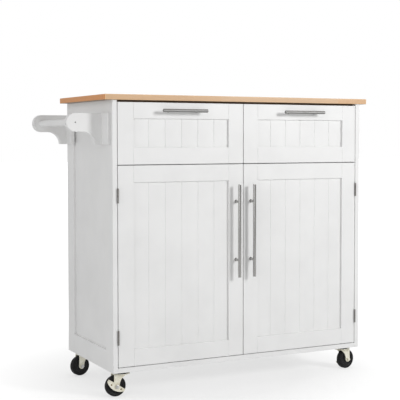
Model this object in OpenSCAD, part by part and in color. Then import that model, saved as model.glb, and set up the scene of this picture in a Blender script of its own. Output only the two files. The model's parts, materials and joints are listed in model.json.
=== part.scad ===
// Kitchen island cart: a panelled cupboard with two drawers over two doors, a solid wood
// top, a towel rail at its left end and four swivel casters, the front two with brakes.
// Millimetres. +Z is up and the front faces -Y. The origin is on the floor, at the
// middle of the whole cart's footprint. Inside the modules X is measured from the left
// side's outer face, Y from the front plane of the doors and Z from the floor.

/* [Cabinet] */
// Width across the two sides
body_w = 885; // [760:5:1300]
// Depth from the front plane of the doors to the back
body_d = 405; // [370:5:600]
// Height of the top surface above the floor
total_h = 914; // [800:2:1100]
// Thickness of the sides, shelf, bottom and dividing boards
board_t = 15; // [12:1:20]
// Thickness of the back panel
back_t = 4; // [3:1:8]
// Distance from the fronts to the boards behind them
front_clear = 2; // [1:0.5:4]
// Width of the rails that carry the top
top_rail_w = 60; // [30:5:100]

/* [Worktop] */
// Thickness of the worktop
top_t = 17; // [15:1:40]
// How far it passes each side
overhang_side = 25; // [0:1:60]
// How far it passes the front plane
overhang_front = 6; // [0:1:25]
// How far it passes the back
overhang_back = 2; // [0:1:25]

/* [Framed sides] */
// Width of the upright members of a side
side_stile_w = 60; // [50:1:90]
// Height of the top and bottom members of a side
side_rail_w = 62; // [40:1:90]
// Depth of the sunk panel below the frame's face
side_recess = 6.5; // [3:0.5:8]

/* [Doors and drawer fronts] */
// Thickness of the framed fronts
front_t = 18; // [16:1:22]
// Height of the drawer fronts
drawer_front_h = 187; // [160:1:240]
// Height of the upper frame member of a drawer front
drawer_top_w = 49; // [40:1:55]
// Width of the frame members of the fronts
member_w = 51; // [40:1:55]
// Depth of the sunk panel below the frame's face
front_recess = 6.5; // [3:0.5:8]
// Thickness of the sunk panel
panel_t = 9; // [6:1:9]
// Distance between two grooves of the panel
groove_pitch = 55.6; // [40:0.2:80]
// Least distance from a panel's edge to its first groove
groove_margin = 40; // [20:1:60]
// Width of a V groove at the surface
groove_w = 4; // [2:0.5:5]
// Gap between two fronts
gap_mid = 2.5; // [2:0.5:4]
// Gap between the drawer fronts and the worktop
gap_top = 6; // [2:0.5:8]
// Gap between the doors and the bottom board
gap_bottom = 2; // [2:0.5:4]

/* [Drawers] */
// Thickness of the sides, front and back of a drawer box
box_t = 12; // [9:1:15]
// Height of a drawer box
box_h = 130; // [100:1:140]
// Length of a drawer box
box_len = 350; // [320:1:350]
// Thickness of a drawer bottom
box_bottom_t = 5; // [3:1:8]
// Height of a drawer bottom above the box's lower edge
box_bottom_rise = 6; // [4:1:12]
// Distance from the middle board up to a drawer box
box_rise = 10; // [4:1:14]
// Room for a runner between a drawer box and the cabinet
runner_room = 12.7; // [12:0.1:14]
// Height of the cabinet member of a runner
runner_h = 34; // [30:1:45]
// Thickness of the runner's sheet steel
runner_t = 1.2; // [1:0.1:1.5]
// Gap between the two members of a runner
runner_gap = 3.8; // [3:0.1:5]

/* [Shelf] */
// Height of the shelf's underside above the floor
shelf_z = 380; // [250:5:500]
// Gap between the shelf and what is around it
shelf_gap = 0.5; // [0.3:0.1:2]
// Diameter of a shelf pin
shelf_pin_d = 5; // [4:0.5:6]
// Length of a shelf pin that shows
shelf_pin_out = 8; // [6:1:12]
// Depth of a shelf pin's hole
shelf_pin_in = 8; // [6:1:10]
// Distance from the front or the back to a shelf pin
shelf_pin_inset = 36; // [25:1:45]

/* [Handles] */
// Diameter of the round bars
bar_d = 10; // [8:1:14]
// Distance from the front plane to the bar's centre line
bar_out = 25; // [20:1:35]
// Diameter of the posts
post_d = 8; // [6:0.5:8]
// Diameter of the screws that hold the posts
handle_screw_d = 4; // [3:0.5:4]
// Length of a drawer handle
drawer_bar_l = 150; // [120:1:240]
// Distance between the posts of a drawer handle
drawer_post_c = 96; // [64:1:104]
// Length of a door handle
door_bar_l = 293; // [220:1:360]
// Distance between the posts of a door handle
door_post_c = 184; // [128:1:200]
// Height of the middle of the door handles above the floor
door_bar_z = 492; // [400:1:520]

/* [Hinges and catches] */
// Diameter of a hinge's knuckle
knuckle_d = 5.2; // [4.8:0.1:7]
// Diameter of a hinge pin
hinge_pin_d = 3; // [2.5:0.1:3.2]
// Length of a hinge
hinge_l = 44; // [30:1:70]
// Thickness of a hinge leaf
leaf_t = 1; // [0.8:0.1:1.5]
// Gap between the two leaves of a shut hinge
leaf_gap = 0.2; // [0.2:0.1:0.6]
// Width of a hinge leaf
leaf_w = 16; // [12:1:16]
// Distance from a door's end to the hinge
hinge_inset = 68; // [40:1:120]
// Length of a magnetic catch
catch_l = 40; // [25:1:50]
// Depth of a catch, front to back
catch_depth = 14; // [10:1:20]
// Height of a catch
catch_h = 12; // [8:1:16]
// Thickness of a catch's strike plate
strike_t = 1; // [0.8:0.1:1.5]

/* [Towel rail] */
// How far the arms reach from the side
arm_reach = 120; // [95:1:180]
// Thickness of an arm
arm_t = 20; // [15:1:30]
// Height of an arm's foot
arm_foot_h = 94; // [75:1:110]
// Height of an arm's round end
arm_end_h = 55; // [40:1:60]
// How far the foot stands out at its lower edge
arm_foot_out = 30; // [20:1:40]
// Distance from the worktop's underside to the arms
arm_drop = 39; // [10:1:80]
// Width of the base plate beside an arm
plate_w = 50; // [30:1:60]
// Thickness of the base plate
plate_t = 10; // [6:1:14]
// Distance from the front plane to the front base plate
rack_front = 12; // [5:1:30]
// Distance from the rear arm to the back
rack_back = 1; // [0:1:30]
// Diameter of the rail
rail_d = 20; // [16:1:28]
// Depth of the rail's sockets in the arms
socket_depth = 12; // [8:1:13]
// Diameter of the screws through the arms
rack_screw_d = 4; // [3:0.5:5]

/* [Casters] */
// Height from the floor to the bottom board
caster_h = 78; // [78:1:100]
// Diameter of a wheel
wheel_d = 64; // [50:1:64]
// Width of a wheel
wheel_w = 20; // [16:1:26]
// Distance from the swivel's axis to the axle
trail = 18; // [14:1:26]
// Least distance from the cabinet's end to a swivel's axis
caster_inset_x = 40; // [36:1:60]
// Distance from the cabinet's front or back to a swivel's axis
caster_inset_y = 42; // [36:1:60]
// Angles that the casters stand turned: front left, rear left, front right, rear right
caster_turn = [0, 10, 10, 10]; // [-30:5:30]
// Length of the square mounting plate
plate_l = 58; // [54:1:64]
// Distance between its screws
plate_screw_c = 42; // [40:1:48]
// Diameter of a caster screw
caster_screw_d = 4.5; // [3.5:0.5:5]
// Length of a caster screw under its head
caster_screw_l = 13; // [8:1:14]
// Thickness of the mounting plate and of the fork's sheet
fork_t = 2.5; // [2:0.5:3]
// Diameter of the axle bolt
axle_d = 8; // [6:1:10]
// Length of a brake lever's upper arm, from the axle
lever_up = 36; // [34:1:40]
// Length of a brake lever's lower arm, from the axle
lever_down = 28; // [20:1:28]

/* [Hidden] */

$fn = 48;
// Joint line between glued members of one frame
seam = 0.1;
// Radial clearance of a turning fit
running = 0.05;
// Radial clearance of a screw or a pin in its hole
loose = 0.1;
// Length by which a cut passes the surface it starts from
cut = 1;

// Heights, from the floor up
bottom_top = caster_h + board_t;
door_z0 = bottom_top + gap_bottom;
under_top = total_h - top_t;
drawer_z1 = under_top - gap_top;
drawer_z0 = drawer_z1 - drawer_front_h;
door_z1 = drawer_z0 - gap_mid;
middle_z0 = door_z1 - board_t / 2;
middle_z1 = middle_z0 + board_t;
drawer_handle_z = drawer_z1 - drawer_top_w / 2;

// Gap between a front and the side board, which holds both hinge leaves
gap_side = 2 * leaf_t + leaf_gap;

// Places from front to back, and from the left side to the middle
inside_y0 = front_t + front_clear;
inside_y1 = body_d - back_t;
front_x0 = board_t + gap_side;
front_x1 = (body_w - gap_mid) / 2;
front_mid = (front_x0 + front_x1) / 2;
door_handle_x = front_x1 - member_w / 2;
divider_x0 = (body_w - board_t) / 2;

// Drawer box and its runners
box_z0 = middle_z1 + box_rise;
box_x0 = board_t + runner_room;
box_x1 = divider_x0 - runner_room;
box_y1 = front_t + box_len;
runner_z = box_z0 + box_h / 2;
inner_runner_h = runner_h - 2 * (runner_t + runner_gap);
runner_clear = 2.8;
inner_runner_w = runner_room - runner_t - runner_clear;
runner_depth = runner_room - runner_t - 1.5;
runner_back = 4;

// Hinge axis: over the gap beside the door, just in front of the fronts
axis_x = board_t + gap_side / 2;
axis_y = -knuckle_d / 2;
leaf_y0 = 0.2;
hinge_z = [door_z0 + hinge_inset, door_z1 - hinge_inset - hinge_l];
knuckle_gap = 0.2;

// Handle posts and screws
screw_head_d = 8;
screw_head_t = 2.5;
screw_bite = 12;

// The shelf's front edge, clear of the heads of the handle screws
shelf_y0 = front_t + screw_head_t + front_clear;

// Towel rail
arm_z1 = under_top - arm_drop;
arm_z0 = arm_z1 - arm_foot_h;
end_r = arm_end_h / 2;
rail_x = end_r - arm_reach;
rail_z = arm_z1 - end_r;
cove_r = arm_foot_h - arm_end_h;
front_arm_y = rack_front + plate_w;
rear_arm_y = body_d - rack_back - arm_t;
side_screw_drop = 5;
pilot_l = 20;

// Casters: kingpin on the local Z axis, wheel behind it along local +X
wheel_r = wheel_d / 2;
screw_edge = 1;
caster_x = max(caster_inset_x, board_t + (plate_screw_c + caster_screw_d) / 2 + screw_edge);
caster_at = [
    for (x = [caster_x, body_w - caster_x])
        for (y = [caster_inset_y, body_d - caster_inset_y]) [x, y]
];
caster_angle = [for (i = [0:3]) i < 2 ? caster_turn[i] + 180 : caster_turn[i]];
plate_z0 = caster_h - fork_t;
race_d = 44;
race_t = 5.3;
race_gap = 0.4;
crown_z1 = plate_z0 - race_t - race_gap;
crown_z0 = crown_z1 - fork_t;
kingpin_d = 8;
kingpin_head_d = 12;
kingpin_head_t = 1.5;
leg_y0 = wheel_w / 2 + 1.5;
leg_y1 = leg_y0 + fork_t;
leg_x0 = -25;
leg_x1 = trail + 8;
leg_cove_r = 34;
boss_r = 9;
bolt_head_d = 9;
bolt_head_t = 1;
nut_d = 13;
nut_t = 4;
lever_t = 2;
lever_gap = 0.3;
lever_edge = 6;
lever_belly = 14;
lever_belly_r = 48;
lever_angle = 33;
lever_tab = 9;
lever_tab_w = 7;
tyre_round = 3;

// The middle of the footprint of the whole cart
mid_x = (body_w + overhang_side - arm_reach) / 2;
mid_y = (body_d + overhang_back - max(bar_out + bar_d / 2, overhang_front)) / 2;

// Shared shapes

// Moves a piece from the cabinet's own corner to the cart's frame
module place() { translate([-mid_x, -mid_y, 0]) children(); }

// The same piece at the other end of the cabinet
module opposite() { translate([body_w, 0, 0]) mirror([1, 0, 0]) children(); }

// A board between its lowest and its highest corner
module board(lo, hi) { translate(lo) cube(hi - lo); }

module bar_x(d, x0, x1, y, z) {
    translate([x0, y, z]) rotate([0, 90, 0]) cylinder(d = d, h = x1 - x0);
}

module bar_y(d, x, y0, y1, z) {
    translate([x, y1, z]) rotate([90, 0, 0]) cylinder(d = d, h = y1 - y0);
}

module bar_z(d, x, y, z0, z1) { translate([x, y, z0]) cylinder(d = d, h = z1 - z0); }

// An outline in X and Z, from y0 to y1
module profile_y(y0, y1) {
    translate([0, y1, 0]) rotate([90, 0, 0]) linear_extrude(y1 - y0) children();
}

// Cabinet

module worktop() {
    color("burlywood") place()
        board([-overhang_side, -overhang_front, under_top],
              [body_w + overhang_side, body_d + overhang_back, total_h]);
}

// Two uprights with a rail between them at the top and at the bottom
module side_frame() {
    y1 = body_d - side_stile_w;
    for (y = [0, y1])
        difference() {
            board([0, y, caster_h], [board_t, y + side_stile_w, under_top]);
            for (py = [shelf_pin_inset, body_d - shelf_pin_inset])
                bar_x(shelf_pin_d + 2 * loose, board_t - shelf_pin_in, board_t + cut, py,
                      shelf_z - shelf_pin_d / 2);
        }
    for (z = [caster_h, under_top - side_rail_w])
        board([0, side_stile_w + seam, z], [board_t, y1 - seam, z + side_rail_w]);
}

module side_panel() {
    board([side_recess, side_stile_w, caster_h + side_rail_w],
          [board_t, body_d - side_stile_w, under_top - side_rail_w]);
}

module left_side_frame() { color("white") place() side_frame(); }
module right_side_frame() { color("white") place() opposite() side_frame(); }
module left_side_panel() { color("white") place() side_panel(); }
module right_side_panel() { color("white") place() opposite() side_panel(); }

module bottom_board() {
    color("white") place()
        difference() {
            board([board_t, 0, caster_h], [body_w - board_t, inside_y1, bottom_top]);
            for (i = [0:3])
                caster_screw_places(i)
                    translate([0, 0, plate_z0])
                        cylinder(d = caster_screw_d + 2 * loose, h = caster_screw_l + loose);
        }
}

module middle_board() {
    color("white") place()
        board([board_t, inside_y0, middle_z0], [body_w - board_t, inside_y1, middle_z1]);
}

module drawer_divider() {
    color("white") place()
        board([divider_x0, inside_y0, middle_z1],
              [divider_x0 + board_t, inside_y1, under_top - board_t]);
}

module shelf() {
    color("white") place()
        board([board_t + shelf_gap, shelf_y0, shelf_z],
              [body_w - board_t - shelf_gap, inside_y1 - shelf_gap, shelf_z + board_t]);
}

module back_panel() {
    color("white") place()
        board([board_t, inside_y1, caster_h], [body_w - board_t, body_d, under_top]);
}

module top_rails() {
    color("white") place()
        for (y = [inside_y0, inside_y1 - top_rail_w])
            board([board_t, y, under_top - board_t],
                  [body_w - board_t, y + top_rail_w, under_top]);
}

module shelf_pins() {
    color("silver") place()
        for (y = [shelf_pin_inset, body_d - shelf_pin_inset]) {
            z = shelf_z - shelf_pin_d / 2;
            bar_x(shelf_pin_d, board_t - shelf_pin_in, board_t + shelf_pin_out, y, z);
            opposite()
                bar_x(shelf_pin_d, board_t - shelf_pin_in, board_t + shelf_pin_out, y, z);
        }
}

// Drawers and their runners

// Channel of sheet steel, open towards +X, its back at x
module channel(x, depth, height, y0, y1) {
    difference() {
        board([x, y0, runner_z - height / 2], [x + depth, y1, runner_z + height / 2]);
        board([x + runner_t, y0 - cut, runner_z - height / 2 + runner_t],
              [x + depth + cut, y1 + cut, runner_z + height / 2 - runner_t]);
    }
}

// Mirrors about the middle of the left drawer's opening
module other_end() {
    translate([board_t + divider_x0, 0, 0]) mirror([1, 0, 0]) children();
}

module cabinet_channels() {
    y0 = inside_y0 + runner_back;
    channel(board_t, runner_depth, runner_h, y0, y0 + box_len - runner_back);
    other_end() channel(board_t, runner_depth, runner_h, y0, y0 + box_len - runner_back);
}

module cabinet_runners() {
    color("silver") place() {
        cabinet_channels();
        opposite() cabinet_channels();
    }
}

// The drawer's own channel, open towards the cabinet, with its back on the box
module drawer_channel() {
    translate([2 * box_x0, 0, 0]) mirror([1, 0, 0])
        channel(box_x0, inner_runner_w, inner_runner_h, inside_y0, box_y1 - runner_back);
}

module drawer_runners() {
    drawer_channel();
    other_end() drawer_channel();
}

module drawer_box() {
    z1 = box_z0 + box_h;
    for (x = [box_x0, box_x1 - box_t])
        board([x, front_t, box_z0], [x + box_t, box_y1, z1]);
    for (y = [front_t, box_y1 - box_t])
        board([box_x0 + box_t + seam, y, box_z0], [box_x1 - box_t - seam, y + box_t, z1]);
}

module drawer_bottom() {
    z = box_z0 + box_bottom_rise;
    board([box_x0 + box_t, front_t + box_t, z],
          [box_x1 - box_t, box_y1 - box_t, z + box_bottom_t]);
}

// Framed fronts from z0 to z1; top_w is the upper member's height, and posts holds the [x, z]
// of the handle's screws

module front_frame(z0, z1, top_w, posts) {
    difference() {
        union() {
            for (x = [front_x0, front_x1 - member_w])
                board([x, 0, z0], [x + member_w, front_t, z1]);
            for (z = [[z0, z0 + member_w], [z1 - top_w, z1]])
                board([front_x0 + member_w + seam, 0, z[0]],
                      [front_x1 - member_w - seam, front_t, z[1]]);
        }
        for (p = posts)
            bar_y(handle_screw_d + 2 * loose, p[0], -cut, front_t + cut, p[1]);
    }
}

// Sunk panel with upright V grooves in its face
module front_panel(z0, z1, top_w) {
    x0 = front_x0 + member_w;
    x1 = front_x1 - member_w;
    spaces = floor((x1 - x0 - 2 * groove_margin) / groove_pitch);
    first = front_mid - spaces * groove_pitch / 2;
    difference() {
        board([x0, front_recess, z0 + member_w],
              [x1, front_recess + panel_t, z1 - top_w]);
        for (i = [0:spaces])
            translate([first + i * groove_pitch, front_recess, z0]) rotate(45)
                linear_extrude(z1 - z0) square(groove_w * sqrt(0.5), center = true);
    }
}

function drawer_posts() =
    [for (side = [-1, 1]) [front_mid + side * drawer_post_c / 2, drawer_handle_z]];
function door_posts() =
    [for (side = [-1, 1]) [door_handle_x, door_bar_z + side * door_post_c / 2]];

// Posts up to the bar, each drilled for its screw
module handle_posts(posts) {
    for (p = posts)
        difference() {
            bar_y(post_d, p[0], -bar_out, 0, p[1]);
            children();
            bar_y(handle_screw_d + 2 * loose, p[0], -screw_bite - loose, cut, p[1]);
        }
}

module drawer_bar() {
    bar_x(bar_d, front_mid - drawer_bar_l / 2, front_mid + drawer_bar_l / 2,
          -bar_out, drawer_handle_z);
}

module drawer_handle() {
    drawer_bar();
    handle_posts(drawer_posts())
        bar_x(bar_d + 2 * seam, front_mid - drawer_bar_l / 2, front_mid + drawer_bar_l / 2,
              -bar_out, drawer_handle_z);
}

module door_handle() {
    z0 = door_bar_z - door_bar_l / 2;
    bar_z(bar_d, door_handle_x, -bar_out, z0, z0 + door_bar_l);
    handle_posts(door_posts())
        bar_z(bar_d + 2 * seam, door_handle_x, -bar_out, z0, z0 + door_bar_l);
}

// Screws from inside, with their heads on the back of the front
module handle_screws(posts) {
    for (p = posts) {
        bar_y(handle_screw_d, p[0], -screw_bite, front_t + screw_head_t, p[1]);
        bar_y(screw_head_d, p[0], front_t, front_t + screw_head_t, p[1]);
    }
}

module left_drawer_frame() {
    color("white") place() front_frame(drawer_z0, drawer_z1, drawer_top_w, drawer_posts());
}
module right_drawer_frame() {
    color("white") place() opposite() front_frame(drawer_z0, drawer_z1, drawer_top_w, drawer_posts());
}
module left_drawer_panel() { color("white") place() front_panel(drawer_z0, drawer_z1, drawer_top_w); }
module right_drawer_panel() {
    color("white") place() opposite() front_panel(drawer_z0, drawer_z1, drawer_top_w);
}
module left_drawer_box() { color("white") place() drawer_box(); }
module right_drawer_box() { color("white") place() opposite() drawer_box(); }
module left_drawer_bottom() { color("white") place() drawer_bottom(); }
module right_drawer_bottom() { color("white") place() opposite() drawer_bottom(); }
module left_drawer_runners() { color("silver") place() drawer_runners(); }
module right_drawer_runners() { color("silver") place() opposite() drawer_runners(); }
module left_drawer_handle() { color("silver") place() drawer_handle(); }
module right_drawer_handle() { color("silver") place() opposite() drawer_handle(); }
module left_drawer_screws() {
    color("silver") place() handle_screws(drawer_posts());
}
module right_drawer_screws() {
    color("silver") place() opposite() handle_screws(drawer_posts());
}

// Doors, hinges and catches

// One hinge's knuckle between two of its thirds, from a to b
module knuckle(z, a, b) {
    third = hinge_l / 3;
    difference() {
        bar_z(knuckle_d, axis_x, axis_y, z + a * third + knuckle_gap / 2,
              z + b * third - knuckle_gap / 2);
        bar_z(hinge_pin_d + 2 * running, axis_x, axis_y, z - cut, z + hinge_l + cut);
    }
}

// A leaf against the plane x, with its strap to the knuckle between thirds a and b
module strap(x, z, a, b) {
    third = hinge_l / 3;
    difference() {
        board([x, axis_y, z + a * third + knuckle_gap / 2],
              [x + leaf_t, leaf_y0 + cut, z + b * third - knuckle_gap / 2]);
        bar_z(hinge_pin_d + 2 * running, axis_x, axis_y, z - cut, z + hinge_l + cut);
    }
}

module leaf(x, z) {
    board([x, leaf_y0, z], [x + leaf_t, leaf_w, z + hinge_l]);
}

module fixed_leaves() {
    for (z = hinge_z) {
        leaf(board_t, z);
        for (a = [0, 2]) {
            knuckle(z, a, a + 1);
            strap(board_t, z, a, a + 1);
        }
    }
}

module moving_leaves() {
    x = front_x0 - leaf_t;
    for (z = hinge_z) {
        leaf(x, z);
        knuckle(z, 1, 2);
        strap(x, z, 1, 2);
    }
}

module hinge_leaves() {
    color("dimgray") place() {
        fixed_leaves();
        opposite() fixed_leaves();
    }
}

module hinge_pins() {
    color("dimgray") place()
        for (z = hinge_z) {
            bar_z(hinge_pin_d, axis_x, axis_y, z, z + hinge_l);
            opposite() bar_z(hinge_pin_d, axis_x, axis_y, z, z + hinge_l);
        }
}

// Catch under the middle board and strike plate on the door's back
module catch() {
    y0 = front_t + strike_t + seam;
    board([front_x1 - member_w, y0, middle_z0 - catch_h],
          [front_x1 - member_w + catch_l, y0 + catch_depth, middle_z0]);
}

module strike() {
    board([front_x1 - member_w, front_t, middle_z0 - catch_h],
          [front_x1 - member_w + catch_l, front_t + strike_t, middle_z0 - seam]);
}

module magnet_catches() {
    color("gray") place() {
        catch();
        opposite() catch();
    }
}

module left_door_frame() {
    color("white") place() front_frame(door_z0, door_z1, member_w, door_posts());
}
module right_door_frame() {
    color("white") place() opposite() front_frame(door_z0, door_z1, member_w, door_posts());
}
module left_door_panel() { color("white") place() front_panel(door_z0, door_z1, member_w); }
module right_door_panel() {
    color("white") place() opposite() front_panel(door_z0, door_z1, member_w);
}
module left_door_leaves() { color("dimgray") place() moving_leaves(); }
module right_door_leaves() { color("dimgray") place() opposite() moving_leaves(); }
module left_door_strike() { color("gray") place() strike(); }
module right_door_strike() { color("gray") place() opposite() strike(); }
module left_door_handle() { color("silver") place() door_handle(); }
module right_door_handle() { color("silver") place() opposite() door_handle(); }
module left_door_screws() {
    color("silver") place() handle_screws(door_posts());
}
module right_door_screws() {
    color("silver") place() opposite() handle_screws(door_posts());
}

// Towel rail

// Arm with a round end, and a concave quarter round down to its foot
module arm_outline() {
    difference() {
        union() {
            translate([rail_x, rail_z]) circle(end_r);
            translate([rail_x, rail_z - end_r]) square([-rail_x, arm_end_h]);
            translate([-arm_foot_out - cove_r, arm_z0])
                square([arm_foot_out + cove_r, arm_foot_h]);
        }
        translate([-arm_foot_out - cove_r, arm_z0]) circle(cove_r);
    }
}

// An arm from y to y + arm_t, with its socket on the side that dir points to
module rack_arm(y, dir) {
    mid = y + arm_t / 2;
    face = mid + dir * arm_t / 2;
    floor_y = face - dir * socket_depth;
    difference() {
        profile_y(y, y + arm_t) arm_outline();
        bar_y(rail_d + 2 * loose, rail_x, min(face + dir * cut, floor_y),
              max(face + dir * cut, floor_y), rail_z);
        bar_y(rack_screw_d + 2 * loose, rail_x, y - cut, y + arm_t + cut, rail_z);
        bar_x(rack_screw_d + 2 * loose, -arm_reach - cut, rail_x, mid,
              rail_z - side_screw_drop);
    }
}

module rack_arm_front() { color("white") place() rack_arm(front_arm_y, 1); }
module rack_arm_rear() { color("white") place() rack_arm(rear_arm_y, -1); }

module rack_plates() {
    color("white") place()
        for (y = [front_arm_y, rear_arm_y])
            board([-plate_t, y - plate_w, arm_z0], [0, y, arm_z1]);
}

module towel_rail() {
    y0 = front_arm_y + arm_t - socket_depth;
    y1 = rear_arm_y + socket_depth;
    color("white") place()
        difference() {
            bar_y(rail_d, rail_x, y0, y1, rail_z);
            for (y = [y0 - cut, y1 - pilot_l])
                bar_y(rack_screw_d + 2 * loose, rail_x, y, y + pilot_l + cut, rail_z);
        }
}

// A screw into each end of the rail, and one from each arm's round end against the rail
module rack_screws() {
    color("gray") place() {
        y0 = front_arm_y;
        y1 = rear_arm_y + arm_t;
        in = arm_t - socket_depth + pilot_l - cut;
        bar_y(rack_screw_d, rail_x, y0 + cut, y0 + in, rail_z);
        bar_y(rack_screw_d, rail_x, y1 - in, y1 - cut, rail_z);
        for (y = [y0 + arm_t / 2, y1 - arm_t / 2])
            bar_x(rack_screw_d, cut - arm_reach, rail_x - rail_d / 2 - loose,
                  y, rail_z - side_screw_drop);
    }
}

// Casters

module at_caster(i) {
    translate([caster_at[i][0], caster_at[i][1], 0]) rotate(caster_angle[i]) children();
}

// The screws of caster i, square to the cabinet
module caster_screw_places(i) {
    for (x = [-1, 1], y = [-1, 1])
        translate([caster_at[i][0] + x * plate_screw_c / 2,
                   caster_at[i][1] + y * plate_screw_c / 2, 0])
            children();
}

module caster_plates() {
    color("goldenrod") place()
        for (i = [0:3]) {
            difference() {
                translate([caster_at[i][0], caster_at[i][1], plate_z0 + fork_t / 2])
                    cube([plate_l, plate_l, fork_t], center = true);
                caster_screw_places(i)
                    translate([0, 0, plate_z0 - cut])
                        cylinder(d = caster_screw_d + 2 * loose, h = fork_t + 2 * cut);
            }
            at_caster(i) {
                bar_z(race_d, 0, 0, plate_z0 - race_t, plate_z0 + fork_t / 2);
                bar_z(kingpin_d, 0, 0, crown_z0 - race_gap, plate_z0);
                bar_z(kingpin_head_d, 0, 0, crown_z0 - race_gap - kingpin_head_t,
                      crown_z0 - race_gap);
            }
        }
}

module caster_screws() {
    head_t = 2;
    color("silver") place()
        for (i = [0:3])
            caster_screw_places(i) {
                bar_z(caster_screw_d, 0, 0, plate_z0 - head_t, plate_z0 + caster_screw_l);
                bar_z(screw_head_d, 0, 0, plate_z0 - head_t, plate_z0);
            }
}

// A leg's outline in local X and Z: from the crown down to a round boss on the axle
module leg_outline() {
    difference() {
        polygon([[leg_x0, crown_z1], [leg_x1, crown_z1], [trail + boss_r, wheel_r],
                 [trail - boss_r, wheel_r]]);
        translate([trail - boss_r - leg_cove_r, crown_z0 - leg_cove_r]) circle(leg_cove_r);
    }
    translate([trail, wheel_r]) circle(boss_r);
}

// Crown with two legs, and the axle bolt with its nut; brake makes room for a lever
module fork(i, brake) {
    color("goldenrod") place() at_caster(i) {
        difference() {
            union() {
                bar_z(race_d, 0, 0, crown_z0, crown_z1);
                board([leg_x0, -leg_y1, crown_z0], [leg_x1, leg_y1, crown_z1]);
                profile_y(-leg_y1, -leg_y0) leg_outline();
                profile_y(leg_y0, leg_y1) leg_outline();
            }
            bar_z(kingpin_d + 2 * running, 0, 0, crown_z0 - cut, crown_z1 + cut);
            bar_y(axle_d + 2 * loose, trail, -leg_y1 - cut, leg_y1 + cut, wheel_r);
        }
        nut_y = leg_y1 + seam + (brake ? lever_t + 2 * lever_gap : 0);
        bar_y(axle_d, trail, -leg_y1 - seam, nut_y, wheel_r);
        bar_y(nut_d, trail, nut_y, nut_y + nut_t, wheel_r);
        bar_y(bolt_head_d, trail, -leg_y1 - seam - bolt_head_t, -leg_y1 - seam, wheel_r);
    }
}

// Tyre and hub in one, with rounded shoulders
module wheel(i) {
    color("dimgray") place() at_caster(i)
        translate([trail, 0, wheel_r]) rotate([90, 0, 0])
            rotate_extrude()
                difference() {
                    translate([axle_d / 2 + running, -wheel_w / 2])
                        square([wheel_r - axle_d / 2 - running, wheel_w]);
                    for (side = [-1, 1])
                        translate([wheel_r, side * wheel_w / 2]) rotate(45)
                            square(tyre_round * sqrt(2), center = true);
                }
}

// A lever's outline about the axle: straight above, round below
module lever_outline() {
    intersection() {
        translate([-lever_down, -lever_belly])
            square([lever_up + lever_down, lever_belly + lever_edge]);
        translate([(lever_up - lever_down) / 2, lever_belly_r - lever_belly])
            circle(lever_belly_r);
    }
}

// Stamped lever on the axle, outside the fork, with a tread bent out at its upper end
module brake(i) {
    y0 = leg_y1 + seam + lever_gap;
    color("goldenrod") place() at_caster(i)
        translate([trail, 0, wheel_r]) rotate([0, -lever_angle, 0])
            difference() {
                union() {
                    profile_y(y0, y0 + lever_t) lever_outline();
                    board([lever_up - lever_t, y0, lever_edge - lever_tab_w],
                          [lever_up, y0 + lever_tab, lever_edge]);
                }
                bar_y(axle_d + 2 * running, 0, y0 - cut, y0 + lever_t + cut, 0);
            }
}

module front_left_fork() { fork(0, true); }
module rear_left_fork() { fork(1, false); }
module front_right_fork() { fork(2, true); }
module rear_right_fork() { fork(3, false); }
module front_left_wheel() { wheel(0); }
module rear_left_wheel() { wheel(1); }
module front_right_wheel() { wheel(2); }
module rear_right_wheel() { wheel(3); }
module front_left_brake() { brake(0); }
module front_right_brake() { brake(2); }

worktop();
left_side_frame();
right_side_frame();
left_side_panel();
right_side_panel();
bottom_board();
middle_board();
drawer_divider();
shelf();
back_panel();
top_rails();
shelf_pins();
cabinet_runners();
hinge_leaves();
hinge_pins();
magnet_catches();
rack_arm_front();
rack_arm_rear();
rack_plates();
towel_rail();
rack_screws();
caster_plates();
caster_screws();
left_drawer_frame();
left_drawer_panel();
left_drawer_box();
left_drawer_bottom();
left_drawer_runners();
left_drawer_handle();
left_drawer_screws();
right_drawer_frame();
right_drawer_panel();
right_drawer_box();
right_drawer_bottom();
right_drawer_runners();
right_drawer_handle();
right_drawer_screws();
left_door_frame();
left_door_panel();
left_door_leaves();
left_door_strike();
left_door_handle();
left_door_screws();
right_door_frame();
right_door_panel();
right_door_leaves();
right_door_strike();
right_door_handle();
right_door_screws();
front_left_fork();
front_left_wheel();
front_left_brake();
rear_left_fork();
rear_left_wheel();
front_right_fork();
front_right_wheel();
front_right_brake();
rear_right_fork();
rear_right_wheel();
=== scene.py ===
import json
import math

import bmesh
import bpy
from mathutils import Matrix, Vector


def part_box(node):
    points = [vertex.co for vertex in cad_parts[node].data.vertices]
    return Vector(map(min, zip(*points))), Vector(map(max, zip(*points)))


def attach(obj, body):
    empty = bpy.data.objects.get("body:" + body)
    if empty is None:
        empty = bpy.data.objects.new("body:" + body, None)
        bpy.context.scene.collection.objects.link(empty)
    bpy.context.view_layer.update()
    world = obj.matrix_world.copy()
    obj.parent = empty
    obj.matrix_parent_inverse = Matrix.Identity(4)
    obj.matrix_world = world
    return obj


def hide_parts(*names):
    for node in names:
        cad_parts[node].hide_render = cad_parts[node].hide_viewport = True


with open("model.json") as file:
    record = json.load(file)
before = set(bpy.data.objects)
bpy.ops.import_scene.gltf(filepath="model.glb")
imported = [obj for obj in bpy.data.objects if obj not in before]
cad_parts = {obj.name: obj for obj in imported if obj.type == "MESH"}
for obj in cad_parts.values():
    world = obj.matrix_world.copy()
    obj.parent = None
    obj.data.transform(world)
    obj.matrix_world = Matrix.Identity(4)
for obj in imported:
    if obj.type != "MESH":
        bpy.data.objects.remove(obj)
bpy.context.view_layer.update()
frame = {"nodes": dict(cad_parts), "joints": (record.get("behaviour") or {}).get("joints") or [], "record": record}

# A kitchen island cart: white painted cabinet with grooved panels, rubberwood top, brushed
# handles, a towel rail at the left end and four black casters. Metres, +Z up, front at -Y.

scene = bpy.context.scene

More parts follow.
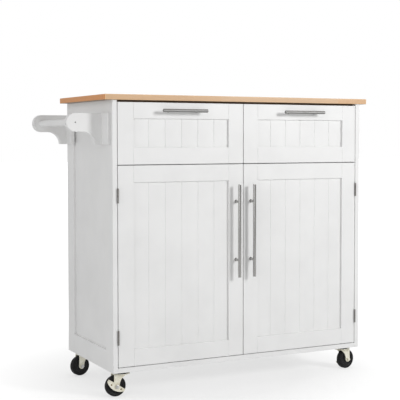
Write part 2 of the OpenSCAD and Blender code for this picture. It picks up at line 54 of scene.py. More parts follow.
BODIES = frame["record"]["behaviour"]["bodies"]
BODY_OF = {node: body for body, nodes in BODIES.items() for node in nodes}
SLOT_OF = {part["node"]: part["material_slot"] for part in frame["record"]["subparts"]}
JOINTS = {joint["name"]: joint for joint in frame["joints"]}

# Sizes
WELD = 1e-6                 # vertices nearer than this are one
SHARP = math.radians(40)    # edges sharper than this are eased, or drawn as edges
FLAT = math.radians(1)      # faces that meet flatter than this are one
PAINTED_EDGE = 0.0007       # easing of painted boards
SHEET_EDGE = 0.0003         # easing of sheet steel
FORK_EDGE = 0.0006
RACK_EDGE = 0.0016
PIN_EDGE = 0.0008
CATCH_EDGE = 0.001
TOP_EDGE = 0.002            # easing of the worktop's long edges
TOP_CORNER = 0.004          # rounding of the worktop's corners, seen from above
GROOVE_PITCH = 0.0556
GROOVE_MARGIN = 0.040
GROOVE_WIDTH = 0.005
GROOVE_DEPTH = 0.0015
MAGNET_UP = (0.003, 0.0075)     # the magnet's two plates, from the bottom of the catch
MAGNET_IN = 0.005               # from the catch's ends
MAGNET_DEEP = 0.004
MAGNET_THICK = 0.0015
BAR_EDGE = 0.0012
POST_RADIUS = 0.004
POST_COLLAR = 0.0055
POST_COLLAR_HIGH = 0.0022
SCREW_HEAD = 0.0025
SCREW_SHANK = 0.002
CASTER_SCREW_HEAD = 0.002
CASTER_SCREW_SHANK = 0.00225
FORK_HIGH = 0.03                # the fork's body is taller than this, its bolt is not
BOLT_RADIUS = 0.0039
HEAD_RADIUS = 0.0045
HEAD_HIGH = 0.001
NUT_RADIUS = 0.0063             # to its corners
NUT_HIGH = 0.004
NUT_CAP = 0.0033
LEVER_THICK = 0.002
RIVET_RADIUS = 0.0026
RIVET_HIGH = 0.0005
RIVETS = ((0.0181, 0.0070), (-0.0128, -0.0093))     # along the trail and up, from the axle
WHEEL_HALF = 0.010              # half the wheel's width
WHEEL_SHOULDER = 0.0045
TYRE_INSIDE = 0.020

# Studio
FLOOR_SIZE = 30
FLOOR_FADE = 1.6            # the floor's shade is gone this far from its middle
FLOOR_NEAR = 0.56
FLOOR_FAR = 1.1
FLOOR_LIGHT = 0.36          # the light that the floor gives the cart
FLOOR_CARD = 0.4
WALL_BACK = 0.7
WALL_SIDE = 0.34
WALL_FRONT = 0.12


# Finishes

class Value:
    """A number, colour or vector that varies over a surface. Arithmetic on values adds nodes."""

    def __init__(self, finish, socket):
        self.finish = finish
        self.socket = socket

    def maths(self, operation, first, second):
        return self.finish.node("ShaderNodeMath", {"operation": operation}, {0: first, 1: second})

    def __add__(self, other):
        return self.maths("ADD", self, other)

    def __sub__(self, other):
        return self.maths("SUBTRACT", self, other)

    def __rsub__(self, other):
        return self.maths("SUBTRACT", other, self)

    def __mul__(self, other):
        return self.maths("MULTIPLY", self, other)

    def __gt__(self, other):
        return self.maths("GREATER_THAN", self, other)

    __radd__ = __add__
    __rmul__ = __mul__


class Finish:
    """A procedural material on object coordinates, or a sky on view directions."""

    def __init__(self, name, kind=bpy.data.materials, place="Object"):
        self.block = kind.new(name)
        self.block.use_nodes = True
        self.tree = self.block.node_tree
        self.tree.nodes.clear()
        self.place = self.node("ShaderNodeTexCoord", out=place)

    def node(self, kind, settings=None, sockets=None, out=0):
        made = self.tree.nodes.new(kind)
        for name, setting in (settings or {}).items():
            if name == "stops":
                self.set_stops(made.color_ramp, setting)
            else:
                setattr(made, name, setting)
        for name, value in (sockets or {}).items():
            if isinstance(value, Value):
                self.tree.links.new(value.socket, made.inputs[name])
            else:
                made.inputs[name].default_value = value
        return Value(self, made.outputs[out]) if made.outputs else None

    def set_stops(self, ramp, stops):
        while len(ramp.elements) < len(stops):
            ramp.elements.new(0.5)
        for element, (position, level) in zip(ramp.elements, stops):
            element.position = position
            element.color = (level, level, level, 1)

    def axes(self, vector):
        split = self.node("ShaderNodeSeparateXYZ", None, {0: vector}).socket.node
        return [Value(self, socket) for socket in split.outputs]

    def maths(self, operation, value):
        return self.node("ShaderNodeMath", {"operation": operation}, {0: value})

    def join(self, x, y, z):
        return self.node("ShaderNodeCombineXYZ", None, {0: x, 1: y, 2: z})

    def stretched(self, x, y, z):
        return self.node("ShaderNodeVectorMath", {"operation": "MULTIPLY"},
                         {0: self.place, 1: (x, y, z)})

    def noise(self, vector, scale, detail=2.0, roughness=0.5, distortion=0.0):
        return self.node("ShaderNodeTexNoise", None, {
            "Vector": vector, "Scale": scale, "Detail": detail,
            "Roughness": roughness, "Distortion": distortion})

    def ramp(self, value, *stops):
        return self.node("ShaderNodeValToRGB", {"stops": stops}, {0: value})

    def mix(self, factor, first, second):
        return self.node("ShaderNodeMix", {"data_type": "RGBA"}, {0: factor, 6: first, 7: second}, out=2)

    def surface(self, colour, roughness, height, depth, **fixed):
        normal = self.node("ShaderNodeBump", None, {"Height": height, "Distance": depth})
        sockets = {"Base Color": colour, "Roughness": roughness, "Normal": normal, **fixed}
        shader = self.node("ShaderNodeBsdfPrincipled", None, sockets)
        self.node("ShaderNodeOutputMaterial", None, {"Surface": shader})
        return self.block


def painted(name, colour, shade, roughness, grain=0.25):
    """Sprayed satin paint over board: faint orange peel, a little filled grain and a soft mottle."""
    finish = Finish(name)
    peel = finish.noise(finish.place, 750, 3)
    fibre = finish.noise(finish.stretched(1, 1, 0.12), 420, 3, 0.6)
    mottle = finish.noise(finish.place, 9, 3)
    tone = finish.mix(finish.ramp(mottle, (0.35, 0), (0.7, 1)), colour, shade)
    return finish.surface(tone, 0.07 * mottle + 0.05 * peel + roughness, peel + grain * fibre,
                          0.00006, **{"Coat Weight": 0.12, "Coat Roughness": 0.3})


def wood(name):
    """Oiled rubberwood staves along X, each with its own tone, growth lines and pores.
    The underside is darkened as painted shade."""
    finish = Finish(name)
    low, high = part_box("worktop")
    stave_count = 10
    stave = (high.y - low.y) / stave_count
    x, y, z = finish.axes(finish.place)
    row = finish.maths("FLOOR", (y - low.y) * (1 / stave))
    row_seed = finish.node("ShaderNodeTexWhiteNoise", {"noise_dimensions": "1D"}, {"W": row})
    length = finish.maths("FLOOR", x * 2.3 + row_seed * 7.0)
    seed = finish.node("ShaderNodeTexWhiteNoise", {"noise_dimensions": "2D"},
                       {"Vector": finish.join(row, length, 0.0)})
    shift = seed * 3.0
    along = finish.join(x * 1.1 + shift, y * 16.0 + shift, z * 16.0)
    growth = finish.noise(along, 3.6, 3, 0.55, 0.6)
    fine = finish.noise(finish.join(x * 7.0 + shift, y * 210.0, z * 210.0), 2.4, 3, 0.6)
    pore = finish.noise(finish.join(x * 26.0 + shift, y * 640.0, z * 640.0), 1.7, 1)
    pores = finish.ramp(pore, (0.6, 0), (0.72, 1))
    lines = finish.ramp(growth, (0.34, 0), (0.5, 0.45), (0.56, 0.2), (0.74, 1))
    face = finish.mix(lines, (0.99, 0.68, 0.38, 1), (0.95, 0.58, 0.29, 1))
    face = finish.mix(0.35 * fine, face, (0.92, 0.55, 0.28, 1))
    face = finish.mix(0.4 * pores, face, (0.52, 0.29, 0.15, 1))
    face = finish.mix(0.65 * seed, face, (0.99, 0.75, 0.49, 1))
    # End grain: rings about a heart below each stave
    heart_y = (y - low.y) * (1 / stave) - row + seed * 2.0 - 1.0
    heart_z = (z - low.z) * (1 / stave) + 1.2
    ring = finish.node("ShaderNodeVectorMath", {"operation": "LENGTH"},
                       {0: finish.join(0.0, heart_y, heart_z)}, out="Value")
    wobble = finish.noise(finish.place, 60, 2)
    rings = finish.maths("SINE", ring * 46.0 + wobble * 4.0)
    dots = finish.ramp(finish.noise(finish.place, 1500, 1), (0.58, 0), (0.68, 1))
    end = finish.mix(0.5 + 0.5 * rings, (0.80, 0.35, 0.11, 1), (0.68, 0.28, 0.085, 1))
    end = finish.mix(0.6 * dots, end, (0.27, 0.145, 0.08, 1))
    facing_x, _, facing_z = finish.axes(finish.node("ShaderNodeTexCoord", out="Normal"))
    is_end = finish.maths("ABSOLUTE", facing_x) > 0.7
    underside_painted_shade = 0.0 - facing_z > 0.7
    # A fine glue line between staves
    into_stave = finish.maths("FRACT", (y - low.y) * (1 / stave))
    glue = finish.ramp(into_stave, (0.0, 1), (0.012, 0), (0.988, 0), (1.0, 1))
    tone = finish.mix(is_end, face, end)
    tone = finish.mix(0.55 * glue, tone, (0.42, 0.24, 0.13, 1))
    # Painted shade: faces that look down are darkened as if in shadow
    tone = finish.mix(0.85 * underside_painted_shade, tone, (0.16, 0.10, 0.06, 1))
    height = 1.0 - 0.6 * pores - 0.7 * glue - 0.15 * fine
    return finish.surface(tone, 0.12 * fine + 0.1 * lines + 0.36, height, 0.00012,
                          **{"Coat Weight": 0.1, "Coat Roughness": 0.35})


def raw_board(name):
    """Unpainted pressed board: brown chips and fibres, kept dark so that it also paints shade."""
    finish = Finish(name)
    chips = finish.node("ShaderNodeTexVoronoi", None,
                        {"Vector": finish.stretched(0.4, 1, 1), "Scale": 420})
    fibre = finish.noise(finish.stretched(0.2, 1, 1), 700, 3, 0.6)
    depth = finish.ramp(chips, (0.1, 0), (0.7, 1))
    tone = finish.mix(depth, (0.25, 0.16, 0.095, 1), (0.13, 0.08, 0.045, 1))
    tone = finish.mix(0.4 * fibre, tone, (0.33, 0.22, 0.13, 1))
    return finish.surface(tone, 0.2 * fibre + 0.65, chips + fibre, 0.0002)


def brushed(name, colour, stretch, roughness):
    """Nickel-plated steel with fine polishing lines along the axis that stretch makes small."""
    finish = Finish(name)
    lines = finish.noise(finish.stretched(*stretch), 900, 4, 0.7)
    cloud = finish.noise(finish.place, 24, 2)
    tone = finish.mix(0.5 * lines + 0.2 * cloud, colour, tuple(0.8 * c for c in colour[:3]) + (1,))
    return finish.surface(tone, 0.16 * lines + 0.06 * cloud + roughness, lines, 0.00002, Metallic=1.0)


def plated(name, colour, patch, roughness, metal=1.0, fleck=90):
    """Plated metal: cloudy patches and fine grit."""
    finish = Finish(name)
    cloud = finish.noise(finish.place, fleck, 4, 0.6, 0.5)
    grit = finish.noise(finish.place, 1400, 2)
    tone = finish.mix(finish.ramp(cloud, (0.4, 0), (0.62, 1)), colour, patch)
    return finish.surface(tone, 0.22 * cloud + 0.1 * grit + roughness, cloud + 0.4 * grit, 0.00005,
                          Metallic=metal)


def moulded(name, colour, shade, roughness, scale=1100, **fixed):
    """Moulded plastic or rubber with a fine sparked texture."""
    finish = Finish(name)
    spark = finish.noise(finish.place, scale, 3, 0.6)
    cloud = finish.noise(finish.place, 30, 3)
    tone = finish.mix(cloud, colour, shade)
    return finish.surface(tone, 0.15 * spark + 0.1 * cloud + roughness, spark, 0.00008, **fixed)


FINISHES = {
    "white_paint": painted("white_paint", (0.86, 0.86, 0.855, 1), (0.82, 0.82, 0.815, 1), 0.34),
    "rubberwood": wood("rubberwood"),
    "back_board": painted("back_board", (0.80, 0.80, 0.79, 1), (0.75, 0.75, 0.74, 1), 0.5, 1.0),
    "drawer_white": painted("drawer_white", (0.83, 0.83, 0.82, 1), (0.79, 0.79, 0.78, 1), 0.42, 0.6),
    "handle_steel": brushed("handle_steel", (0.46, 0.455, 0.445, 1), (1, 1, 0.03), 0.03),
    # Level bars: the same steel as the upright bars, with a darker base colour as painted shade
    "level_bar_painted_shade": brushed("level_bar_painted_shade", (0.33, 0.327, 0.32, 1), (0.03, 1, 1), 0.42),
    "hinge_steel": plated("hinge_steel", (0.30, 0.29, 0.28, 1), (0.22, 0.21, 0.20, 1), 0.3),
    "runner_steel": plated("runner_steel", (0.72, 0.74, 0.76, 1), (0.58, 0.60, 0.62, 1), 0.28, 1.0, 160),
    "shelf_pin_steel": brushed("shelf_pin_steel", (0.70, 0.71, 0.72, 1), (0.05, 1, 1), 0.22),
    "screw_steel": plated("screw_steel", (0.80, 0.80, 0.79, 1), (0.62, 0.62, 0.61, 1), 0.22),
    # Near-black steel for the rack screws: painted shade of the holes they sit in
    "screw_hole_painted_shade": plated("screw_hole_painted_shade", (0.07, 0.07, 0.072, 1), (0.04, 0.04, 0.042, 1), 0.35, 0.5),
    "dull_brass": plated("dull_brass", (0.36, 0.27, 0.15, 1), (0.24, 0.18, 0.10, 1), 0.35),
    # Caster plates: near black, partly painted shade of the gap between cabinet and fork
    "dark_plate": plated("dark_plate", (0.035, 0.035, 0.03, 1), (0.016, 0.017, 0.014, 1), 0.4, 0.6),
    # Hidden top rails: unpainted brown board, partly painted shade for the dark gap above the drawers
    "raw_board": raw_board("raw_board"),
    "catch_plastic": moulded("catch_plastic", (0.78, 0.78, 0.77, 1), (0.72, 0.72, 0.71, 1), 0.4),
    "zinc_plate": plated("zinc_plate", (0.96, 0.94, 0.82, 1), (0.80, 0.76, 0.62, 1), 0.3, 0.4, 70),
    "wheel_black": moulded("wheel_black", (0.007, 0.007, 0.008, 1), (0.012, 0.012, 0.012, 1), 0.5,
                           **{"Specular IOR Level": 0.25}),
    "hub_black": moulded("hub_black", (0.006, 0.006, 0.007, 1), (0.010, 0.010, 0.011, 1), 0.32, 800,
                         **{"Specular IOR Level": 0.35}),
}


# Mesh work

def merged_copy(node):
    """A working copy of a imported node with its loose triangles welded."""
    bm = bmesh.new()
    bm.from_mesh(frame["nodes"][node].data)
    bmesh.ops.remove_doubles(bm, verts=bm.verts, dist=WELD)
    return bm


def islands(bm):
    """The vertices of each separate solid."""
    left = set(bm.verts)
    found = []
    while left:
        group = set()
        reached = [left.pop()]
        while reached:
            vert = reached.pop()
            group.add(vert)
            for edge in vert.link_edges:
                other = edge.other_vert(vert)
                if other in left:
                    left.remove(other)
                    reached.append(other)
        found.append(group)
    return found


def box_of(points):
    low = Vector(tuple(min(p[i] for p in points) for i in range(3)))
    high = Vector(tuple(max(p[i] for p in points) for i in range(3)))
    return low, high


def solid_boxes(node):
    """The lowest and highest corners of each solid of a node, in a steady order."""
    bm = merged_copy(node)
    boxes = [box_of([vert.co.copy() for vert in group]) for group in islands(bm)]
    bm.free()
    return sorted(boxes, key=lambda box: tuple(round(c, 5) for c in box[0]))


def piece(name, bm, slot, body, replaced=(), finish=None):
    """Makes the mesh an object of the cart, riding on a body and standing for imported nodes."""
    mesh = bpy.data.meshes.new(name)
    for face in bm.faces:
        face.smooth = True
    bm.to_mesh(mesh)
    bm.free()
    mesh.set_sharp_from_angle(angle=SHARP)
    mesh.materials.append(FINISHES[finish or slot])
    made = bpy.data.objects.new(name, mesh)
    scene.collection.objects.link(made)
    even = made.modifiers.new("Even shading", "WEIGHTED_NORMAL")
    even.keep_sharp = True
    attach(made, body)
    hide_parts(*replaced)
    return made


def node_piece(node, bm, finish=None):
    """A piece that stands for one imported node, on its body and with its slot."""
    return piece(node + "_made", bm, SLOT_OF[node], BODY_OF[node], [node], finish)


def add_plain_block(bm, low, high):
    verts = bmesh.ops.create_cube(bm, size=1)["verts"]
    bmesh.ops.scale(bm, vec=high - low, verts=verts)
    bmesh.ops.translate(bm, vec=(low + high) / 2, verts=verts)
    return verts


def add_block(bm, low, high, ease):
    """A block with eased edges."""
    verts = add_plain_block(bm, low, high)
    bevelled(bm, {edge for vert in verts for edge in vert.link_edges}, ease)


def bevelled(bm, edges, width, segments=2):
    bmesh.ops.bevel(bm, geom=list(edges), offset=width, offset_type="OFFSET", affect="EDGES",
                    segments=segments, profile=0.5, material=-1, clamp_overlap=True)


def add_turned(bm, outline, start, end, steps=32):
    """A turned solid. outline is (radius, distance from start) pairs; radius 0 closes an end."""
    before = set(bm.verts)
    ring = [bm.verts.new((radius, 0, along)) for radius, along in outline]
    edges = [bm.edges.new(pair) for pair in zip(ring, ring[1:])]
    bmesh.ops.spin(bm, geom=ring + edges, cent=(0, 0, 0), axis=(0, 0, 1), angle=2 * math.pi,
                   steps=steps, use_merge=True)
    made = [vert for vert in bm.verts if vert not in before]
    bmesh.ops.remove_doubles(bm, verts=made, dist=WELD)
    made = [vert for vert in bm.verts if vert not in before]
    faces = {face for vert in made for face in vert.link_faces}
    bmesh.ops.recalc_face_normals(bm, faces=list(faces))
    axis = (end - start).normalized()
    turn = axis.to_track_quat("Z", "Y").to_matrix().to_4x4()
    bmesh.ops.transform(bm, matrix=Matrix.Translation(start) @ turn, verts=made)


def rod_outline(radius, start, end, ease, steps=3):
    """The outline of a rod with rounded ends."""
    angles = [k * math.pi / 2 / steps for k in range(steps + 1)]
    first = [(radius - ease + ease * math.sin(a), start + ease - ease * math.cos(a)) for a in angles]
    last = [(radius - ease + ease * math.cos(a), end - ease + ease * math.sin(a)) for a in angles]
    return [(0, start), *first, *last, (0, end)]


def add_rod(bm, start, end, radius, ease, steps=32):
    add_turned(bm, rod_outline(radius, 0, (end - start).length, ease), start, end, steps)


def eased_blocks(node, ease):
    """Every solid of a node as a block with eased edges."""
    bm = bmesh.new()
    for low, high in solid_boxes(node):
        add_block(bm, low, high, ease)
    return node_piece(node, bm)


def eased_copy(node, ease, wanted=None):
    """A welded copy with its sharp edges eased; wanted picks the solids to keep by their box."""
    bm = merged_copy(node)
    if wanted:
        spare = [v for group in islands(bm)
                 if not wanted(*box_of([v.co for v in group])) for v in group]
        bmesh.ops.delete(bm, geom=spare, context="VERTS")
    bmesh.ops.dissolve_limit(bm, angle_limit=FLAT, verts=bm.verts, edges=bm.edges)
    sharp = [e for e in bm.edges if e.is_manifold and e.calc_face_angle() > SHARP]
    bevelled(bm, sharp, ease)
    return bm


# Cabinet

def round_corner_block(low, high, corner, ease):
    """A board with rounded upright corners and eased long edges."""
    bm = bmesh.new()
    add_plain_block(bm, low, high)
    upright = [e for e in bm.edges if abs((e.verts[0].co - e.verts[1].co).z) > WELD]
    bevelled(bm, upright, corner, 5)
    rims = [e for e in bm.edges if e.calc_face_angle() > math.radians(60)]
    bevelled(bm, rims, ease, 3)
    return bm


def worktop():
    low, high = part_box("worktop")
    node_piece("worktop", round_corner_block(low, high, TOP_CORNER, TOP_EDGE))


def grooved_panel(node):
    """A sunk panel with upright V grooves in its front face."""
    low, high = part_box(node)
    bm = bmesh.new()
    add_plain_block(bm, low, high)
    spaces = int((high.x - low.x - 2 * GROOVE_MARGIN) / GROOVE_PITCH)
    first = (low.x + high.x) / 2 - spaces * GROOVE_PITCH / 2
    for i in range(spaces + 1):
        middle = first + i * GROOVE_PITCH
        for x in (middle - GROOVE_WIDTH / 2, middle, middle + GROOVE_WIDTH / 2):
            bmesh.ops.bisect_plane(bm, geom=bm.verts[:] + bm.edges[:] + bm.faces[:],
                                   plane_co=(x, 0, 0), plane_no=(1, 0, 0))
        bottom = [v for v in bm.verts if abs(v.co.x - middle) < WELD and v.co.y - low.y < WELD]
        bmesh.ops.translate(bm, vec=(0, GROOVE_DEPTH, 0), verts=bottom)
    node_piece(node, bm)


def cabinet():
    worktop()
    # The top rails take the dark raw board finish: partly painted shade in the gap above the drawers
    for node in ("left_side_frame", "right_side_frame", "bottom_board", "middle_board",
                 "drawer_divider", "shelf", "top_rails", "rack_plates"):
        eased_blocks(node, PAINTED_EDGE)
    for node in ("left_side_panel", "right_side_panel", "back_panel"):
        eased_blocks(node, SHEET_EDGE)
    bm = bmesh.new()
    for low, high in solid_boxes("shelf_pins"):
        middle = (low + high) / 2
        add_rod(bm, Vector((low.x, middle.y, middle.z)), Vector((high.x, middle.y, middle.z)),
                (high.z - low.z) / 2, BAR_EDGE, 20)
    node_piece("shelf_pins", bm)
    node_piece("cabinet_runners", eased_copy("cabinet_runners", SHEET_EDGE))
    catches()


def catches():
    """Magnetic catches: a moulded housing with two plates of the magnet showing at its front."""
    housing = bmesh.new()
    plates = bmesh.new()
    for low, high in solid_boxes("magnet_catches"):
        add_block(housing, low + Vector((0, CATCH_EDGE, 0)), high, CATCH_EDGE)
        for z in (low.z + up for up in MAGNET_UP):
            add_block(plates, Vector((low.x + MAGNET_IN, low.y, z)),
                      Vector((high.x - MAGNET_IN, low.y + MAGNET_DEEP, z + MAGNET_THICK)), SHEET_EDGE)
    node_piece("magnet_catches", housing)
    piece("catch_magnet_plates", plates, "screw_steel", "cabinet")


# Doors and drawers

def handle(node):
    """A round bar on two posts with small collars at their feet."""
    low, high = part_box(node)
    solids = sorted(solid_boxes(node), key=lambda box: (box[1] - box[0]).length)
    bar_low, bar_high = solids[-1]
    middle = (bar_low + bar_high) / 2
    size = bar_high - bar_low
    along = 2 if size.z > size.x else 0
    start = middle.copy()
    start[along] = bar_low[along]
    end = middle.copy()
    end[along] = bar_high[along]
    bm = bmesh.new()
    add_rod(bm, start, end, min(size) / 2, BAR_EDGE)
    for post_low, post_high in solids[:2]:
        centre = (post_low + post_high) / 2
        foot = Vector((centre.x, high.y, centre.z))
        head = Vector((centre.x, middle.y, centre.z))
        reach = (head - foot).length
        outline = [(0, 0), (POST_COLLAR, 0), (POST_COLLAR, 0.0012), (POST_COLLAR - 0.0005, 0.0018),
                   (POST_RADIUS, POST_COLLAR_HIGH), (POST_RADIUS, reach), (0, reach)]
        add_turned(bm, outline, foot, head, 24)
    # Level bars take the darker copy of the steel, painted shade
    node_piece(node, bm, finish="handle_steel" if along == 2 else "level_bar_painted_shade")


def screws(node):
    """Pan-head screws that go in from the back."""
    bm = bmesh.new()
    for low, high in solid_boxes(node):
        centre = (low + high) / 2
        radius = (high.x - low.x) / 2
        start = Vector((centre.x, high.y, centre.z))
        end = Vector((centre.x, low.y, centre.z))
        add_screw(bm, start, end, radius)
    node_piece(node, bm)


def add_screw(bm, top, tip, radius, head=SCREW_HEAD, shank=SCREW_SHANK):
    """A pan-head screw from the top of its head to its tip, with a round driver recess."""
    recess = radius * 0.42
    reach = (tip - top).length
    outline = [(0, head * 0.6), (recess * 0.8, head * 0.55), (recess, 0.0001), (radius * 0.62, 0),
               (radius * 0.85, head * 0.18), (radius * 0.97, head * 0.5), (radius, head * 0.8),
               (radius, head), (shank, head), (shank, reach - shank), (0, reach)]
    add_turned(bm, outline, top, tip, 24)


def front(name):
    """A framed front with its panel, handle and screws."""
    eased_blocks(name + "_frame", PAINTED_EDGE)
    grooved_panel(name + "_panel")
    handle(name + "_handle")
    screws(name + "_screws")


def drawer(name):
    front(name)
    eased_blocks(name + "_box", PAINTED_EDGE)
    eased_blocks(name + "_bottom", SHEET_EDGE)
    node_piece(name + "_runners", eased_copy(name + "_runners", SHEET_EDGE))


def door(name):
    front(name)
    eased_blocks(name + "_strike", SHEET_EDGE)
    node_piece(name + "_leaves", eased_copy(name + "_leaves", SHEET_EDGE))


def hinges():
    node_piece("hinge_leaves", eased_copy("hinge_leaves", SHEET_EDGE))
    bm = bmesh.new()
    for low, high in solid_boxes("hinge_pins"):
        middle = (low + high) / 2
        add_rod(bm, Vector((middle.x, middle.y, low.z)), Vector((middle.x, middle.y, high.z)),
                (high.x - low.x) / 2, PIN_EDGE, 16)
    node_piece("hinge_pins", bm)


# Towel rail

def towel_rack():
    for node in ("rack_arm_front", "rack_arm_rear"):
        node_piece(node, eased_copy(node, RACK_EDGE))
    low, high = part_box("towel_rail")
    middle = (low + high) / 2
    bm = bmesh.new()
    add_rod(bm, Vector((middle.x, low.y, middle.z)), Vector((middle.x, high.y, middle.z)),
            (high.x - low.x) / 2, BAR_EDGE, 40)
    node_piece("towel_rail", bm)
    # The rack screws are near black, painted shade of their holes
    node_piece("rack_screws", eased_copy("rack_screws", SHEET_EDGE), finish="screw_hole_painted_shade")


# Casters

def caster(name, braked):
    """Fork, wheel, bolt and brake lever of one caster, each on its own body."""
    fork = name + "_fork"
    wheel = name + "_wheel"
    axle = Vector(JOINTS[name + "_wheel_spin"]["pos_m"])
    across = Vector(JOINTS[name + "_wheel_spin"]["axis"]).normalized()
    node_piece(fork, eased_copy(fork, FORK_EDGE, lambda low, high: high.z - low.z > FORK_HIGH))
    add_bolt(fork, axle, across)
    add_wheel(wheel, axle, across)
    if braked:
        node_piece(name + "_brake", eased_copy(name + "_brake", SHEET_EDGE))
        lever_rivets(name + "_brake", axle, across)


def add_bolt(fork, axle, across):
    """The axle bolt: a low round head at one end and a nut with a rounded cap at the other."""
    low, high = max(reaches_along_axle(fork, axle, across), key=lambda reach: reach[1] - reach[0])
    start = axle + across * low
    end = axle + across * high
    bm = bmesh.new()
    add_rod(bm, start + across * HEAD_HIGH * 0.5, end - across * NUT_HIGH * 0.5,
            BOLT_RADIUS, SHEET_EDGE, 24)
    dome = [(0, 0), (HEAD_RADIUS * 0.5, 0.0001), (HEAD_RADIUS * 0.85, HEAD_HIGH * 0.4),
            (HEAD_RADIUS, HEAD_HIGH * 0.8), (HEAD_RADIUS, HEAD_HIGH), (0, HEAD_HIGH)]
    add_turned(bm, dome, start, start + across, 24)
    piece(fork + "_bolt", bm, SLOT_OF[fork], BODY_OF[fork])
    nut = bmesh.new()
    cap = [(0, 0), (0.0016, 0), (0.0028, 0.0004), (NUT_CAP, 0.0014), (NUT_CAP, 0.0022), (0, 0.0022)]
    add_turned(nut, cap, end, end - across, 24)
    flats = [(0, 0.0014), (0.0052, 0.0014), (NUT_RADIUS, 0.0020), (NUT_RADIUS, NUT_HIGH), (0, NUT_HIGH)]
    add_turned(nut, flats, end, end - across, 6)
    piece(fork + "_nut", nut, "screw_steel", BODY_OF[fork])


def reaches_along_axle(node, axle, across):
    """How far each solid of a node reaches along the axle, as (low, high)."""
    bm = merged_copy(node)
    reaches = []
    for group in islands(bm):
        along = [(vert.co - axle).dot(across) for vert in group]
        reaches.append((min(along), max(along)))
    bm.free()
    return reaches


def lever_rivets(brake, axle, across):
    """Two dark rivets in the face of a brake lever."""
    face = min(low for low, high in reaches_along_axle(brake, axle, across)) + LEVER_THICK
    trail = across.cross(Vector((0, 0, 1)))
    made = bmesh.new()
    for along, up in RIVETS:
        base = axle + trail * along + Vector((0, 0, up)) + across * (face - LEVER_THICK / 2)
        add_rod(made, base, base + across * (LEVER_THICK / 2 + RIVET_HIGH), RIVET_RADIUS, RIVET_HIGH, 20)
    piece(brake + "_rivets", made, "hinge_steel", BODY_OF[brake], finish="dull_brass")


def add_wheel(wheel, axle, across):
    """A tyre with rounded shoulders on a dished hub with a raised boss."""
    low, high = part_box(wheel)
    radius = (high.z - low.z) / 2
    half = WHEEL_HALF
    start = axle - across * half
    end = axle + across * half
    wall = [(0.0235, half - 0.0012), (0.0255, half - 0.0002), (0.0275, half)]
    turns = [k * math.pi / 12 for k in range(6)]
    shoulder = [(radius - WHEEL_SHOULDER + WHEEL_SHOULDER * math.sin(a),
                 half - WHEEL_SHOULDER + WHEEL_SHOULDER * math.cos(a)) for a in turns]
    side = wall + shoulder + [(radius, half - 0.0050)]
    outline = [(TYRE_INSIDE, -half + 0.0030), *both_sides(side)]
    outline += [(TYRE_INSIDE, half - 0.0030), (TYRE_INSIDE, 0.0030 - half)]
    tyre = bmesh.new()
    add_turned(tyre, [(r, y + half) for r, y in outline], start, end, 64)
    node_piece(wheel, tyre)
    boss = [(0.0046, half - 0.0002), (0.0084, half - 0.0002), (0.0092, half - 0.0010)]
    dish = [(0.0110, half - 0.0034), (0.0195, half - 0.0034), (0.0215, half - 0.0012)]
    rim = [(0.0228, half - 0.0010), (0.0240, half - 0.0016)]
    outline = both_sides(boss + dish + rim)
    outline.append(outline[0])
    hub = bmesh.new()
    add_turned(hub, [(r, y + half) for r, y in outline], start, end, 64)
    piece(wheel + "_hub", hub, "wheel_black", BODY_OF[wheel], finish="hub_black")


def both_sides(side):
    """The outline of one side of a wheel, mirrored and joined to itself."""
    return [(r, -y) for r, y in side] + [(r, y) for r, y in reversed(side)]


def caster_mounts():
    # The caster plates' near-black finish is partly painted shade
    node_piece("caster_plates", eased_copy("caster_plates", SHEET_EDGE))
    bm = bmesh.new()
    for low, high in solid_boxes("caster_screws"):
        centre = (low + high) / 2
        add_screw(bm, Vector((centre.x, centre.y, low.z)), Vector((centre.x, centre.y, high.z)),
                  (high.x - low.x) / 2, CASTER_SCREW_HEAD, CASTER_SCREW_SHANK)
    node_piece("caster_screws", bm)


cabinet()
hinges()
for side in ("left", "right"):
    drawer(side + "_drawer")
    door(side + "_door")
towel_rack()
caster_mounts()
for end in ("left", "right"):
    caster("front_" + end, True)
    caster("rear_" + end, False)


# Studio

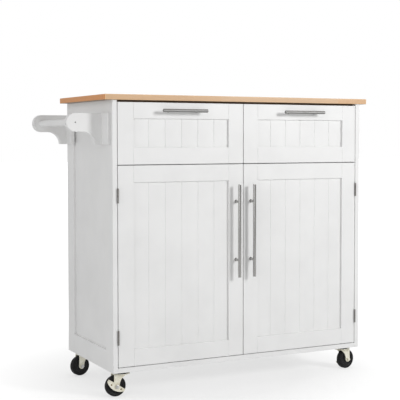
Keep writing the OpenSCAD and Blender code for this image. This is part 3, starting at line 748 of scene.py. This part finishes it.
def floor():
    """A pale floor: a soft shade under the cart that fades to white around it."""
    bm = bmesh.new()
    bmesh.ops.create_grid(bm, x_segments=1, y_segments=1, size=FLOOR_SIZE)
    mesh = bpy.data.meshes.new("floor")
    bm.to_mesh(mesh)
    bm.free()
    made = bpy.data.objects.new("floor", mesh)
    scene.collection.objects.link(made)
    finish = Finish("floor_white")
    away = finish.node("ShaderNodeVectorMath", {"operation": "LENGTH"}, {0: finish.place}, out="Value")
    seen = finish.ramp(away * (1 / FLOOR_FADE), (0.2, FLOOR_NEAR), (0.85, FLOOR_FAR))
    is_seen = finish.node("ShaderNodeLightPath", out="Is Camera Ray")
    glow = finish.node("ShaderNodeEmission", None,
                       {"Color": finish.mix(is_seen, (FLOOR_LIGHT,) * 3 + (1,), seen), "Strength": 1})
    card = finish.node("ShaderNodeBsdfDiffuse", None, {"Color": (FLOOR_CARD,) * 3 + (1,)})
    both = finish.node("ShaderNodeAddShader", None, {0: glow, 1: card})
    finish.node("ShaderNodeOutputMaterial", None, {"Surface": both})
    mesh.materials.append(finish.block)


def studio_walls():
    """White walls, darker in front, where the camera stands, and brightest behind and above."""
    sky = Finish("studio", bpy.data.worlds, "Generated")
    forward = sky.node("ShaderNodeVectorMath", {"operation": "DOT_PRODUCT"},
                       {0: sky.place, 1: (-0.30, -0.95, -0.6)}, out="Value")
    light = sky.ramp(0.5 * forward + 0.5, (0.1, WALL_BACK), (0.45, WALL_SIDE), (0.9, WALL_FRONT))
    is_seen = sky.node("ShaderNodeLightPath", out="Is Camera Ray")
    level = sky.mix(is_seen, light, (1, 1, 1, 1))
    wall = sky.node("ShaderNodeBackground", None, {"Color": level, "Strength": 1})
    sky.node("ShaderNodeOutputWorld", None, {"Surface": wall})
    scene.world = sky.block


def soft_light(name, place, target, size, power):
    data = bpy.data.lights.new(name, "AREA")
    data.shape = "SQUARE"
    data.size = size
    data.energy = power
    made = bpy.data.objects.new(name, data)
    made.location = place
    made.rotation_euler = (Vector(target) - Vector(place)).to_track_quat("-Z", "Y").to_euler()
    scene.collection.objects.link(made)


def camera():
    data = bpy.data.cameras.new("camera")
    data.lens = 93.4
    data.sensor_width = 36
    data.shift_x = -0.059
    data.shift_y = -0.0385
    made = bpy.data.objects.new("camera", data)
    made.location = (-1.5259, -3.0687, 0.7821)
    made.rotation_euler = (math.radians(90 - 2.541), 0, math.radians(-27.553))
    scene.collection.objects.link(made)
    scene.camera = made


floor()
studio_walls()
soft_light("key", (2.1, -3.4, 1.85), (0, 0, 0.45), 0.9, 78)
soft_light("fill", (-3.4, -2.0, 1.7), (-0.2, 0, 0.45), 3.2, 44)
camera()
scene.view_settings.view_transform = "Standard"
